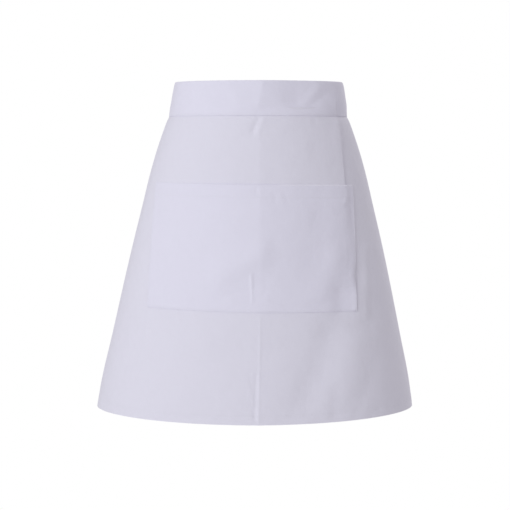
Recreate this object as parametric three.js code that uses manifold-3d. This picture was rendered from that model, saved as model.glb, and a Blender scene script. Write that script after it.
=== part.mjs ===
import * as THREE from 'three';
import { mergeVertices } from 'three/addons/utils/BufferGeometryUtils.js';
import Module from 'manifold-3d';

const wasm = await Module();
wasm.setup();
const { clamp, degToRad, lerp, smoothstep } = THREE.MathUtils;

// A waist apron, standing open as it is worn. Millimetres, +Z up, the front faces -Y.
// The origin is the centre of the waist, at half the waistband's height.
// A place on the cloth is a length along the outline from the front centre (+X is positive),
// a height, and a distance out from the outline.

// The outline seen from above, at the waistband's top, at its seam and at the hem
const WAIST_WIDTH = 243;
const WAIST_DEPTH = 180;
const SEAM_WIDTH = 261;
const SEAM_DEPTH = 190;
const HEM_WIDTH = 470;
const HEM_DEPTH = 308;
const WRAP_ANGLE = 115; // degrees from the front centre to each back edge

// Heights
const BAND_HEIGHT = 50;
const SKIRT_LENGTH = 433; // from the waistband's seam to the hem
const HEM_SHIFT = -5; // the hem hangs a little to the left
const HEM_RISE = 4.5; // and its right side a little higher
const HEM_RISE_LEFT = 3.5; // as its left side does

// Cloth
const CLOTH = 1.2;
const CLEAR = 0.4; // between layers that lie on each other
const HEM_EXTRA = 0.8; // what a turned hem adds to the wall
const HEM_STEP = 1.5; // width of the slope from the wall to its hem
const BOTTOM_HEM = 14;
const SIDE_HEM = 10;
const BAND_TONGUE = 12; // how far the panel reaches up inside the waistband
const BAND_SETTLE = 14; // height in which the two layers of the waistband close above the panel
const BAND_ROUND = 1.4; // drop of the fold's rounding at the waistband's top
const BAND_CURVE = 0.75; // power of the waistband's inward curve towards its top

// The pleat, to the right of the front
const PLEAT_PLACE = 132; // from the front centre to the fold's edge
const PLEAT_DEPTH = 36; // cloth lying under at the seam
const PLEAT_OPEN = 4; // cloth lying under where the fold lets go
const PLEAT_LENGTH = 262; // from the seam to where it is open flat
const PLEAT_PRESSED = 0.78; // share of that length where it is folded right over
const PLEAT_RAMP = 42; // beyond the edge, where the under layer comes back to the outline
const PLEAT_MARGIN = 10; // before the tucked layer, where the waistband makes room for it

// The patch pocket
const POCKET_WIDTH = 315;
const POCKET_HEIGHT = 179;
const POCKET_DROP = 97; // from the seam to the mouth
const POCKET_SHIFT = -9.5; // its middle lies left of the front centre
const POCKET_TILT = 0.8; // degrees, right side down
const POCKET_HEM = 20;
const POCKET_SEAM = 8; // margin that lies flat on the panel
const POCKET_STAND = 10; // how far the middle of the mouth stands off the panel
const POCKET_BRIDGE = 12; // width in which the pocket steps down past the pleat

// Ties and their knot, at the back
const TIE_WIDTH = 30;
const TIE_THICKNESS = 1.6;
const TIE_LAP = 18; // sewn to the inside of the waistband
const TIE_PINCH = 0.36; // share of the width left inside the knot
const TIE_PINCH_LENGTH = 45;
const TAIL_LENGTH = 260;
const TAIL_GAP = 1.6; // from the middle to each tail's inner edge, at the knot
const TAIL_SPREAD = 22; // how much further out that edge is at the tail's end
const TAIL_SWING = 8; // how far the tails bow backwards
const KNOT_WIDTH = 36;
const KNOT_DEPTH = 22;
const KNOT_HEIGHT = 30;
const KNOT_GRIP = 7; // how far each strap reaches into the knot
const KNOT_RIDGE = 0.12; // share by which the strap over the knot stands proud
const KNOT_RIDGE_WIDTH = 0.4; // its half width, as a share of the knot's half width

// How finely curved cloth is divided
const ANGLE_STEP = 0.01;
const LEAST_CELL = 1.5;
const CREASE_LEFT = -12; // the finer columns that carry the press crease
const CREASE_RIGHT = 16;
const PANEL_ROWS = 20;
const POCKET_ROWS = 10;
const TIE_COLUMNS = 18;
const TAIL_ROWS = 16;
const KNOT_COLUMNS = 24;
const KNOT_ROWS = 14;

const TOP_Z = BAND_HEIGHT / 2;
const SEAM_Z = -BAND_HEIGHT / 2;
const HEM_Z = SEAM_Z - SKIRT_LENGTH;
const WRAP = degToRad(WRAP_ANGLE);
const TURN_RADIUS = (CLOTH + CLEAR) / 2;
const TURN_LENGTH = Math.PI * TURN_RADIUS;
const PLEAT_START = PLEAT_PLACE - TURN_RADIUS - CLOTH / 2;

// How the skirt spreads: share of its length below the seam, share of the way from seam to hem size
const FLARE = [
  { down: 0, out: 0 },
  { down: 0.02, out: 0.042 },
  { down: 0.05, out: 0.088 },
  { down: 0.12, out: 0.186 },
  { down: 0.2, out: 0.28 },
  { down: 0.3, out: 0.38 },
  { down: 0.45, out: 0.53 },
  { down: 0.6, out: 0.668 },
  { down: 0.75, out: 0.8 },
  { down: 0.9, out: 0.935 },
  { down: 1, out: 1 },
];

// Soft folds of the front, each a ridge (or a dent, if negative) along a line seen from the front.
// x is a share of half the hem's width, down a share of the skirt's length, and lift and reach are
// shares of FOLD_SIZE: how far it stands out, and how far it spreads from its line.
const FOLD_SIZE = 10;
const SKIRT_FOLDS = [
  { name: 'dent under the waistband', x0: 0.01, down0: 0.01, x1: -0.03, down1: 0.05, lift: -0.15, reach: 0.6 },
  { name: 'press crease, ridge', x0: 0.03, down0: 0.69, x1: 0.03, down1: 1, lift: 0.1, reach: 0.5 },
  { name: 'press crease, dent', x0: -0.02, down0: 0.5, x1: -0.01, down1: 1, lift: -0.1, reach: 0.6 },
  { name: 'long fold at the right', x0: 0.61, down0: 0.765, x1: 0.58, down1: 0.87, lift: 0.36, reach: 2.6 },
  { name: 'dent left of it', x0: 0.42, down0: 0.72, x1: 0.27, down1: 0.925, lift: -0.26, reach: 2.2 },
  { name: 'swell at the right', x0: 0.76, down0: 0.73, x1: 0.76, down1: 0.91, lift: 0.13, reach: 2 },
  { name: 'corner of the pocket', x0: 0.62, down0: 0.56, x1: 0.62, down1: 0.64, lift: 0.16, reach: 1.3 },
];
const POCKET_FOLDS = [
  { name: 'swell above the dent', x0: 0.03, down0: 0.45, x1: -0.2, down1: 0.54, lift: 0.26, reach: 1.6 },
  { name: 'middle dent', x0: 0.02, down0: 0.56, x1: -0.16, down1: 0.6, lift: -0.12, reach: 1.2 },
  { name: 'right ridge', x0: 0.48, down0: 0.28, x1: 0.47, down1: 0.46, lift: 0.18, reach: 1.8 },
  { name: 'foot of the right ridge', x0: 0.47, down0: 0.47, x1: 0.36, down1: 0.56, lift: 0.18, reach: 1.8 },
];

// The panel's columns from its left back edge to its right one: between two marks, or round the pleat
const PANEL_ZONES = [
  { from: 'leftEdge', to: 'leftHem', steps: 1 },
  { from: 'leftHem', to: 'leftFlat', steps: 1 },
  { from: 'leftFlat', to: 'frontLeft', steps: 9 },
  { from: 'frontLeft', to: 'creaseLeft', steps: 12 },
  { from: 'creaseLeft', to: 'creaseRight', steps: 6 },
  { from: 'creaseRight', to: 'lap', steps: 5 },
  { from: 'lap', to: 'fold', steps: 6 },
  { round: 'first turn', steps: 4 },
  { round: 'under layer', steps: 3 },
  { round: 'second turn', steps: 4 },
  { from: 'tuck', to: 'rightFlat', steps: 15 },
  { from: 'rightFlat', to: 'rightHem', steps: 1 },
  { from: 'rightHem', to: 'rightEdge', steps: 1 },
];

const flare = new THREE.CubicInterpolant(FLARE.map((row) => row.down), FLARE.map((row) => row.out), 1);

// Share of the skirt's length that lies above height z.
function downAt(z) {
  return clamp((SEAM_Z - z) / SKIRT_LENGTH, 0, 1);
}

// Half width, half depth and sideways shift of the outline at height z.
function outlineAt(z) {
  const down = downAt(z);
  const spread = flare.evaluate(down)[0];
  const lift = clamp((z - SEAM_Z) / BAND_HEIGHT, 0, 1);
  const narrowing = 1 - (1 - lift) ** BAND_CURVE;
  return {
    across: (lerp(SEAM_WIDTH, HEM_WIDTH, spread) + (WAIST_WIDTH - SEAM_WIDTH) * narrowing) / 2,
    deep: (lerp(SEAM_DEPTH, HEM_DEPTH, spread) + (WAIST_DEPTH - SEAM_DEPTH) * narrowing) / 2,
    shift: HEM_SHIFT * down * down,
  };
}

// Length of one small step round the outline.
function stride(outline, angle, step) {
  return Math.hypot(outline.across * Math.cos(angle), outline.deep * Math.sin(angle)) * step;
}

// Angle round from the front centre that is reached after a length along the outline at height z.
function angleAfter(length, z) {
  const outline = outlineAt(z);
  let left = Math.abs(length);
  let angle = 0;
  for (;;) {
    const next = stride(outline, angle + ANGLE_STEP / 2, ANGLE_STEP);
    if (next >= left) {
      return Math.sign(length) * (angle + (ANGLE_STEP * left) / next);
    }
    left -= next;
    angle += ANGLE_STEP;
  }
}

// Length along the outline at height z from the front centre to an angle.
function lengthTo(angle, z) {
  const outline = outlineAt(z);
  const steps = Math.ceil(Math.abs(angle) / ANGLE_STEP);
  const step = Math.abs(angle) / Math.max(steps, 1);
  let length = 0;
  for (let i = 0; i < steps; i += 1) {
    length += stride(outline, (i + 0.5) * step, step);
  }
  return Math.sign(angle) * length;
}

// How far a list of soft folds pushes the cloth out at a place on the front.
function foldsAt(folds, angle, z) {
  if (Math.cos(angle) <= 0) {
    return 0;
  }
  const place = new THREE.Vector3(outlineAt(z).across * Math.sin(angle), 0, z);
  const nearest = new THREE.Vector3();
  let out = 0;
  for (const fold of folds) {
    const line = new THREE.Line3(
      new THREE.Vector3((fold.x0 * HEM_WIDTH) / 2, 0, SEAM_Z - fold.down0 * SKIRT_LENGTH),
      new THREE.Vector3((fold.x1 * HEM_WIDTH) / 2, 0, SEAM_Z - fold.down1 * SKIRT_LENGTH),
    );
    line.closestPointToPoint(place, true, nearest);
    const away = nearest.distanceTo(place) / (fold.reach * FOLD_SIZE);
    out += fold.lift * FOLD_SIZE * Math.exp(-away * away);
  }
  return out * smoothstep(-z, -SEAM_Z, -SEAM_Z + HEM_STEP);
}

// The point at an angle and height, a distance out from the outline.
function pointAt(angle, z, out) {
  const { across, deep, shift } = outlineAt(z);
  const outward = new THREE.Vector2(deep * Math.sin(angle), -across * Math.cos(angle)).normalize();
  const down = downAt(z);
  const sway = angle > 0 ? HEM_RISE : HEM_RISE_LEFT;
  const rise = sway * down * down * Math.sin(angle) ** 2;
  return new THREE.Vector3(
    shift + across * Math.sin(angle) + out * outward.x,
    -deep * Math.cos(angle) + out * outward.y,
    z + rise,
  );
}

// How far the cloth has gone along and out, and where it heads, a share of the way round one turn.
function bend(turn, share) {
  const heading = turn * share;
  if (heading === 0) {
    return { along: TURN_LENGTH * share, out: 0, heading };
  }
  const radius = TURN_LENGTH / turn;
  return { along: radius * Math.sin(heading), out: -radius * (1 - Math.cos(heading)), heading };
}

// The pleat at height z: how far it turns back, the cloth lying under, and where its last layer starts.
function pleatAt(z) {
  const run = (downAt(z) * SKIRT_LENGTH) / PLEAT_LENGTH;
  const turn = Math.PI * (1 - smoothstep(run, PLEAT_PRESSED, 1));
  const length = lerp(PLEAT_DEPTH, PLEAT_OPEN, clamp(run / PLEAT_PRESSED, 0, 1));
  const one = bend(turn, 1);
  const under = { along: length * Math.cos(turn), out: -length * Math.sin(turn) };
  const along = PLEAT_START + 2 * one.along + under.along;
  return { turn, one, under, along, out: 2 * one.out + under.out };
}

// How far out the cloth right of the pleat lies: tucked under the fold, then back to the outline.
function tuckedOut(along, pleat) {
  return pleat.out * (1 - smoothstep(along, PLEAT_PLACE, PLEAT_PLACE + PLEAT_RAMP));
}

// Where a column of the panel stands at height z: its length along, distance out and heading.
function clothAt(column, z) {
  const pleat = pleatAt(z);
  const { one, under, turn } = pleat;
  if (column.round === 'first turn') {
    const part = bend(turn, column.share);
    return { along: PLEAT_START + part.along, out: part.out, heading: part.heading };
  }
  if (column.round === 'under layer') {
    return {
      along: PLEAT_START + one.along + under.along * column.share,
      out: one.out + under.out * column.share,
      heading: turn,
    };
  }
  if (column.round === 'second turn') {
    const part = bend(turn, 1 - column.share);
    return { along: pleat.along - part.along, out: pleat.out - part.out, heading: part.heading };
  }
  const half = lengthTo(WRAP, z);
  const marks = {
    leftEdge: -half,
    leftHem: -half + SIDE_HEM,
    leftFlat: -half + SIDE_HEM + HEM_STEP,
    frontLeft: POCKET_SHIFT - POCKET_WIDTH / 2 - SIDE_HEM,
    creaseLeft: CREASE_LEFT,
    creaseRight: CREASE_RIGHT,
    lap: PLEAT_START - PLEAT_DEPTH - PLEAT_MARGIN,
    fold: PLEAT_START,
    tuck: pleat.along,
    rightFlat: half - SIDE_HEM - HEM_STEP,
    rightHem: half - SIDE_HEM,
    rightEdge: half,
  };
  const along = lerp(marks[column.from], marks[column.to], column.share);
  const tucked = marks[column.from] >= marks.tuck && column.to.startsWith('right');
  return { along, out: tucked ? tuckedOut(along, pleat) : 0, heading: 0 };
}

// What a turned hem adds to the inside of the panel.
function hemAt(along, z) {
  const fromSide = lengthTo(WRAP, z) - Math.abs(along);
  const fromBottom = z - HEM_Z;
  const side = 1 - smoothstep(fromSide, SIDE_HEM, SIDE_HEM + HEM_STEP);
  const bottom = 1 - smoothstep(fromBottom, BOTTOM_HEM, BOTTOM_HEM + HEM_STEP);
  return HEM_EXTRA * Math.max(side, bottom);
}

// A list of numbers from the first to the last, evenly spaced.
function evenly(first, last, steps) {
  return Array.from({ length: steps + 1 }, (_, i) => lerp(first, last, i / steps));
}

// A closed geometry with shared corners and its faces pointing out.
function closed(geometry) {
  geometry.deleteAttribute('normal');
  geometry.deleteAttribute('uv');
  const merged = mergeVertices(geometry);
  const { position } = merged.attributes;
  const order = merged.index.array;
  const corner = [new THREE.Vector3(), new THREE.Vector3(), new THREE.Vector3()];
  let volume = 0;
  for (let i = 0; i < order.length; i += 3) {
    corner.forEach((point, k) => point.fromBufferAttribute(position, order[i + k]));
    volume += corner[0].dot(corner[1].cross(corner[2]));
  }
  if (volume < 0) {
    for (let i = 0; i < order.length; i += 3) {
      [order[i + 1], order[i + 2]] = [order[i + 2], order[i + 1]];
    }
  }
  return merged;
}

// A strip or sheet of cloth as a closed wall: a box of cells, each corner put where place says.
function sheet(columns, rows, place) {
  const across = columns.length - 1;
  const down = rows.length - 1;
  const geometry = new THREE.BoxGeometry(1, 1, 1, across, down, 1);
  const corners = geometry.attributes.position;
  for (let i = 0; i < corners.count; i += 1) {
    const column = columns[Math.round((corners.getX(i) + 0.5) * across)];
    const row = rows[Math.round((0.5 - corners.getY(i)) * down)];
    const point = place(column, row, Math.sign(corners.getZ(i)));
    corners.setXYZ(i, point.x, point.y, point.z);
  }
  return closed(geometry);
}

// The skirt: one sheet with its pleat folded in, and hems turned up along the bottom and back edges.
function skirtPanel() {
  const columns = [{ ...PANEL_ZONES[0], share: 0 }];
  for (const zone of PANEL_ZONES) {
    evenly(0, 1, zone.steps).slice(1).forEach((share) => columns.push({ ...zone, share }));
  }
  const rows = [
    SEAM_Z + BAND_TONGUE,
    ...evenly(SEAM_Z, HEM_Z + BOTTOM_HEM + HEM_STEP, PANEL_ROWS),
    HEM_Z + BOTTOM_HEM,
    HEM_Z,
  ];
  return sheet(columns, rows, (column, z, side) => {
    const level = Math.min(z, SEAM_Z);
    const { along, out, heading } = clothAt(column, level);
    const half = CLOTH / 2 + (side < 0 ? hemAt(along, level) : 0);
    const angle = angleAfter(along + side * half * Math.sin(heading), level);
    return pointAt(angle, z, out + side * half * Math.cos(heading) + foldsAt(SKIRT_FOLDS, angle, z));
  });
}

// Columns of the panel that lie flat, in order, with where each stands at height z.
function flatColumns(z) {
  const columns = [];
  for (const zone of PANEL_ZONES.filter((row) => row.from)) {
    evenly(0, 1, zone.steps).slice(1).forEach((share) => columns.push({ ...zone, share }));
  }
  columns.unshift({ ...PANEL_ZONES[0], share: 0 });
  return columns.map((column) => ({ ...column, ...clothAt(column, z) }));
}

// How far the pleat's tucked layers and the side hems push the waistband's inner layer in.
function stackAt(along) {
  const pleat = pleatAt(SEAM_Z);
  const from = PLEAT_START - PLEAT_DEPTH - TURN_RADIUS - CLOTH;
  const opening = smoothstep(along, from - PLEAT_MARGIN, from);
  return opening * tuckedOut(along, pleat) - hemAt(along, SEAM_Z);
}

// The waistband: a strip folded over the panel's top edge, with a slot below that holds the panel.
function waistband() {
  const slotTop = SEAM_Z + BAND_TONGUE + CLEAR;
  const shape = new THREE.Shape([
    [0, SEAM_Z], [1, SEAM_Z], [1, slotTop], [2, slotTop], [2, SEAM_Z], [3, SEAM_Z],
    [3, slotTop], [3, slotTop + BAND_SETTLE], [3, TOP_Z - BAND_ROUND], [2.5, TOP_Z],
    [0.5, TOP_Z], [0, TOP_Z - BAND_ROUND], [0, slotTop + BAND_SETTLE], [0, slotTop],
  ].map(([layer, z]) => new THREE.Vector2(layer, z)));
  const stations = flatColumns(SEAM_Z).map((column) => column.along).sort((a, b) => a - b);
  const steps = stations.length - 1;
  const geometry = new THREE.ExtrudeGeometry(shape, { steps, depth: 1, bevelEnabled: false });
  const corners = geometry.attributes.position;
  for (let i = 0; i < corners.count; i += 1) {
    const layer = corners.getX(i);
    const z = corners.getY(i);
    const along = stations[Math.round(corners.getZ(i) * steps)];
    const stack = stackAt(along);
    const slot = CLOTH / 2 + CLEAR;
    const held = [stack - slot - CLOTH, stack - slot, slot, slot + CLOTH];
    const folded = [-CLOTH, 0, 0, CLOTH];
    const settled = smoothstep(z, slotTop, slotTop + BAND_SETTLE);
    const inner = Math.floor(layer);
    const outer = Math.ceil(layer);
    const out = lerp(
      lerp(held[inner], held[outer], layer - inner),
      lerp(folded[inner], folded[outer], layer - inner),
      settled,
    );
    const point = pointAt(angleAfter(along, SEAM_Z), z, out);
    corners.setXYZ(i, point.x, point.y, point.z);
  }
  return closed(geometry);
}

// The panel's outer face at a place, with the step at the pleat's edge bridged.
function faceAt(along, z) {
  const pleat = pleatAt(z);
  const edge = PLEAT_PLACE + CLOTH;
  const bridge = pleat.out * smoothstep(along, edge, edge + POCKET_BRIDGE);
  return CLOTH / 2 + Math.max(tuckedOut(along, pleat), bridge);
}

// What the pocket lies on: the highest of the panel's outer face just above, at and below a place.
function panelFace(along, z) {
  const reach = SKIRT_LENGTH / PANEL_ROWS;
  return Math.max(...[-reach, 0, reach].map((offset) => faceAt(along, z + offset)));
}

// Lengths along where the pocket bends: its edges and seams, the pleat's step and the panel's columns.
function pocketStations() {
  const left = POCKET_SHIFT - POCKET_WIDTH / 2;
  const right = POCKET_SHIFT + POCKET_WIDTH / 2;
  const step = PLEAT_PLACE + CLOTH;
  const wanted = [left + POCKET_SEAM, right - POCKET_SEAM];
  wanted.push(...evenly(step, step + POCKET_BRIDGE, 2));
  wanted.push(...flatColumns(SEAM_Z).map(({ along }) => along).filter((along) => along < PLEAT_START));
  const stations = [left];
  for (const along of wanted.sort((a, b) => a - b)) {
    if (along - stations.at(-1) > LEAST_CELL && right - along > LEAST_CELL) {
      stations.push(along);
    }
  }
  return [...stations, right];
}

// The pocket: a patch lying flat along its sides and bottom, its hemmed mouth standing off the panel.
function pocket() {
  const flatHalf = POCKET_WIDTH / 2 - POCKET_SEAM;
  const rows = [
    0,
    POCKET_HEM,
    ...evenly(POCKET_HEM + HEM_STEP, POCKET_HEIGHT - POCKET_SEAM, POCKET_ROWS),
    POCKET_HEIGHT,
  ];
  return sheet(pocketStations(), rows, (along, row, side) => {
    const z = SEAM_Z - POCKET_DROP - row - Math.tan(degToRad(POCKET_TILT)) * (along - POCKET_SHIFT);
    const angle = angleAfter(along, z);
    const sideways = Math.min(1, Math.abs(along - POCKET_SHIFT) / flatHalf);
    const upwards = clamp(1 - row / (POCKET_HEIGHT - POCKET_SEAM), 0, 1);
    const stand = POCKET_STAND * (1 - sideways ** 4) * Math.sin((upwards * Math.PI) / 2);
    const dent = Math.max(foldsAt(POCKET_FOLDS, angle, z), -stand / 2);
    const hem = HEM_EXTRA * (1 - smoothstep(row, POCKET_HEM, POCKET_HEM + HEM_STEP));
    const inside = panelFace(along, z) + CLEAR + stand + dent + foldsAt(SKIRT_FOLDS, angle, z);
    return pointAt(angle, z, side > 0 ? inside + CLOTH + hem : inside);
  });
}

// Distance out from the outline to the middle of the ties, which lie inside the waistband's ends.
const TIE_OUT = -1.5 * CLOTH - HEM_EXTRA - 2 * CLEAR - TIE_THICKNESS / 2;

// Share of its full width that a strap has at a distance from the knot.
function pinchAt(distance) {
  return lerp(TIE_PINCH, 1, smoothstep(distance, 0, TIE_PINCH_LENGTH));
}

// A tie from the inside of the waistband's end round the back into the knot. Side is -1 for the left.
function tie(side, grow) {
  const knotHalf = KNOT_WIDTH / 2 - KNOT_GRIP - grow;
  const last = lengthTo(Math.PI, 0) - knotHalf;
  const columns = evenly(lengthTo(WRAP, 0) - TIE_LAP, last, TIE_COLUMNS);
  return sheet(columns, [0.5, -0.5], (along, share, face) => {
    const width = TIE_WIDTH * pinchAt(last - along) + 2 * grow;
    const out = TIE_OUT + face * (TIE_THICKNESS / 2 + grow);
    return pointAt(side * angleAfter(along, 0), share * width, out);
  });
}

// A tail hanging from the knot, flat to the back. Side is -1 for the left.
function tail(side, grow) {
  const start = -(KNOT_HEIGHT / 2 - KNOT_GRIP) + grow;
  const knotY = pointAt(Math.PI, 0, TIE_OUT).y;
  const rows = evenly(0, TAIL_LENGTH, TAIL_ROWS);
  return sheet([-0.5, 0.5], rows, (across, distance, face) => {
    const share = distance / TAIL_LENGTH;
    const width = TIE_WIDTH * pinchAt(distance);
    const middle = side * (width / 2 + TAIL_GAP + TAIL_SPREAD * share);
    const back = TAIL_SWING * Math.sin(share * Math.PI);
    return new THREE.Vector3(
      middle + across * (width + 2 * grow),
      knotY + back - face * (TIE_THICKNESS / 2 + grow),
      start - distance,
    );
  });
}

// A closed geometry as a solid that can be cut.
function solidOf(geometry) {
  return new wasm.Manifold(new wasm.Mesh({
    numProp: 3,
    vertProperties: new Float32Array(geometry.attributes.position.array),
    triVerts: new Uint32Array(geometry.index.array),
  }));
}

// The knot: a rounded lump with a strap over it, and a recess where each strap goes in.
function knot() {
  const ball = new THREE.SphereGeometry(1, KNOT_COLUMNS, KNOT_ROWS);
  const corners = ball.attributes.position;
  const centre = pointAt(Math.PI, 0, TIE_OUT);
  const point = new THREE.Vector3();
  for (let i = 0; i < corners.count; i += 1) {
    point.fromBufferAttribute(corners, i);
    const away = (point.x - point.z * KNOT_RIDGE_WIDTH) / KNOT_RIDGE_WIDTH;
    point.multiplyScalar(1 + KNOT_RIDGE * Math.exp(-(away ** 4)));
    point.multiply(new THREE.Vector3(KNOT_WIDTH / 2, KNOT_DEPTH / 2, KNOT_HEIGHT / 2)).add(centre);
    corners.setXYZ(i, point.x, point.y, point.z);
  }
  let solid = solidOf(closed(ball));
  for (const side of [-1, 1]) {
    solid = solid.subtract(solidOf(tie(side, CLEAR)));
    solid = solid.subtract(solidOf(tail(side, CLEAR)));
  }
  const cut = solid.getMesh();
  const geometry = new THREE.BufferGeometry();
  geometry.setAttribute('position', new THREE.BufferAttribute(cut.vertProperties, cut.numProp));
  geometry.setIndex(new THREE.BufferAttribute(cut.triVerts, 1));
  return geometry;
}

// White cotton twill, a shade cooler on the folded pieces.
const COTTON = { roughness: 0.92, metalness: 0 };
const PIECES = [
  { name: 'skirt_panel', build: skirtPanel, color: 0xdcdbe8 },
  { name: 'waistband', build: waistband, color: 0xd8d7e4 },
  { name: 'pocket', build: pocket, color: 0xdedde9 },
  { name: 'left_tie', build: () => tie(-1, 0), color: 0xd8d7e4 },
  { name: 'right_tie', build: () => tie(1, 0), color: 0xd8d7e4 },
  { name: 'left_tail', build: () => tail(-1, 0), color: 0xd8d7e4 },
  { name: 'right_tail', build: () => tail(1, 0), color: 0xd8d7e4 },
  { name: 'knot', build: knot, color: 0xd8d7e4 },
];

const apron = new THREE.Group();
for (const { name, build, color } of PIECES) {
  const mesh = new THREE.Mesh(build(), new THREE.MeshStandardMaterial({ color, ...COTTON }));
  mesh.name = name;
  apron.add(mesh);
}

export default apron;
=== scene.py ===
"""A plain white waist apron in its worn form: the dressed pieces, the light and the camera.

Metres, +Z up, the front faces -Y. The origin is the centre of the waist, at half the waistband's height.
"""
import logging
import math
from dataclasses import dataclass
from enum import Enum

import bpy
import numpy as np
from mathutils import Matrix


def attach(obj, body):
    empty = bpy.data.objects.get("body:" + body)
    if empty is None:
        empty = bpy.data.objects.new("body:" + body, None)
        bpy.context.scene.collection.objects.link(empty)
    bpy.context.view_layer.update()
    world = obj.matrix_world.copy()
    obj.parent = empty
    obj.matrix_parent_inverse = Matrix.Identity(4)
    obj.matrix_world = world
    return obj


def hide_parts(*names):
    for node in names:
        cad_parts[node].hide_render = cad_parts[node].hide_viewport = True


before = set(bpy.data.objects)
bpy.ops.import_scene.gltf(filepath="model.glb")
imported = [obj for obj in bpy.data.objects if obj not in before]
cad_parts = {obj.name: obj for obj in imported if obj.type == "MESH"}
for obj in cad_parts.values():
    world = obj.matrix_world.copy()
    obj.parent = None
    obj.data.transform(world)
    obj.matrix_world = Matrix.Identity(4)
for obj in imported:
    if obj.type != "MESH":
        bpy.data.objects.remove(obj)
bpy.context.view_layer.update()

log = logging.getLogger("apron")

Array = np.ndarray
Object = bpy.types.Object
Socket = bpy.types.NodeSocket

GAUSS_NODES, GAUSS_WEIGHTS = np.polynomial.legendre.leggauss(24)
CLOTH = 0.0006
HEM_EXTRA = 0.0006
HEM_STEP = 0.0015
EDGE_STITCH = 0.0015
SIDE_HEM = 0.010
TONGUE = 0.012
CLEAR = 0.0002
SMOOTH_ANGLE = math.radians(50)


class Side(Enum):
    """Which side of the apron a piece is on, as the sign of its x."""

    LEFT = -1
    RIGHT = 1


def smoothstep(x: Array, low: float, high: float) -> Array:
    """Smooth rise from 0 at low to 1 at high.

    Args:
        x: The values.
        low: Where the rise starts.
        high: Where it ends.

    Returns:
        The risen values, from 0 to 1.
    """
    t = np.clip((np.asarray(x, float) - low) / (high - low), 0.0, 1.0)
    return t * t * (3 - 2 * t)


def spaced(first: float, last: float, cell: float) -> Array:
    """Evenly spaced values from first to last.

    Args:
        first: The first value.
        last: The last value.
        cell: The widest step between two values.

    Returns:
        The values, both ends included.
    """
    steps = max(1, math.ceil(abs(last - first) / cell))
    return np.linspace(first, last, steps + 1)


class Profile(Enum):
    """How a fold looks in section: rounded, or pressed to a line."""

    SOFT = "soft"
    CREASE = "crease"


@dataclass(frozen=True)
class Fold:
    """A ridge, or a dent where lift is negative, along a line seen from the front.

    x is a share of half the hem's width, down a share of the skirt's length from the seam, and lift and
    reach are metres: how far it stands out, and how far it spreads to each side of its line.
    """

    name: str
    x0: float
    down0: float
    x1: float
    down1: float
    lift: float
    reach: float
    profile: Profile = Profile.SOFT

    def section(self, away: Array) -> Array:
        """Share of the lift at a distance from the line, counted in reaches."""
        if self.profile is Profile.CREASE:
            return np.exp(-np.hypot(away, 0.05))
        return np.exp(-away ** 2)


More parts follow.
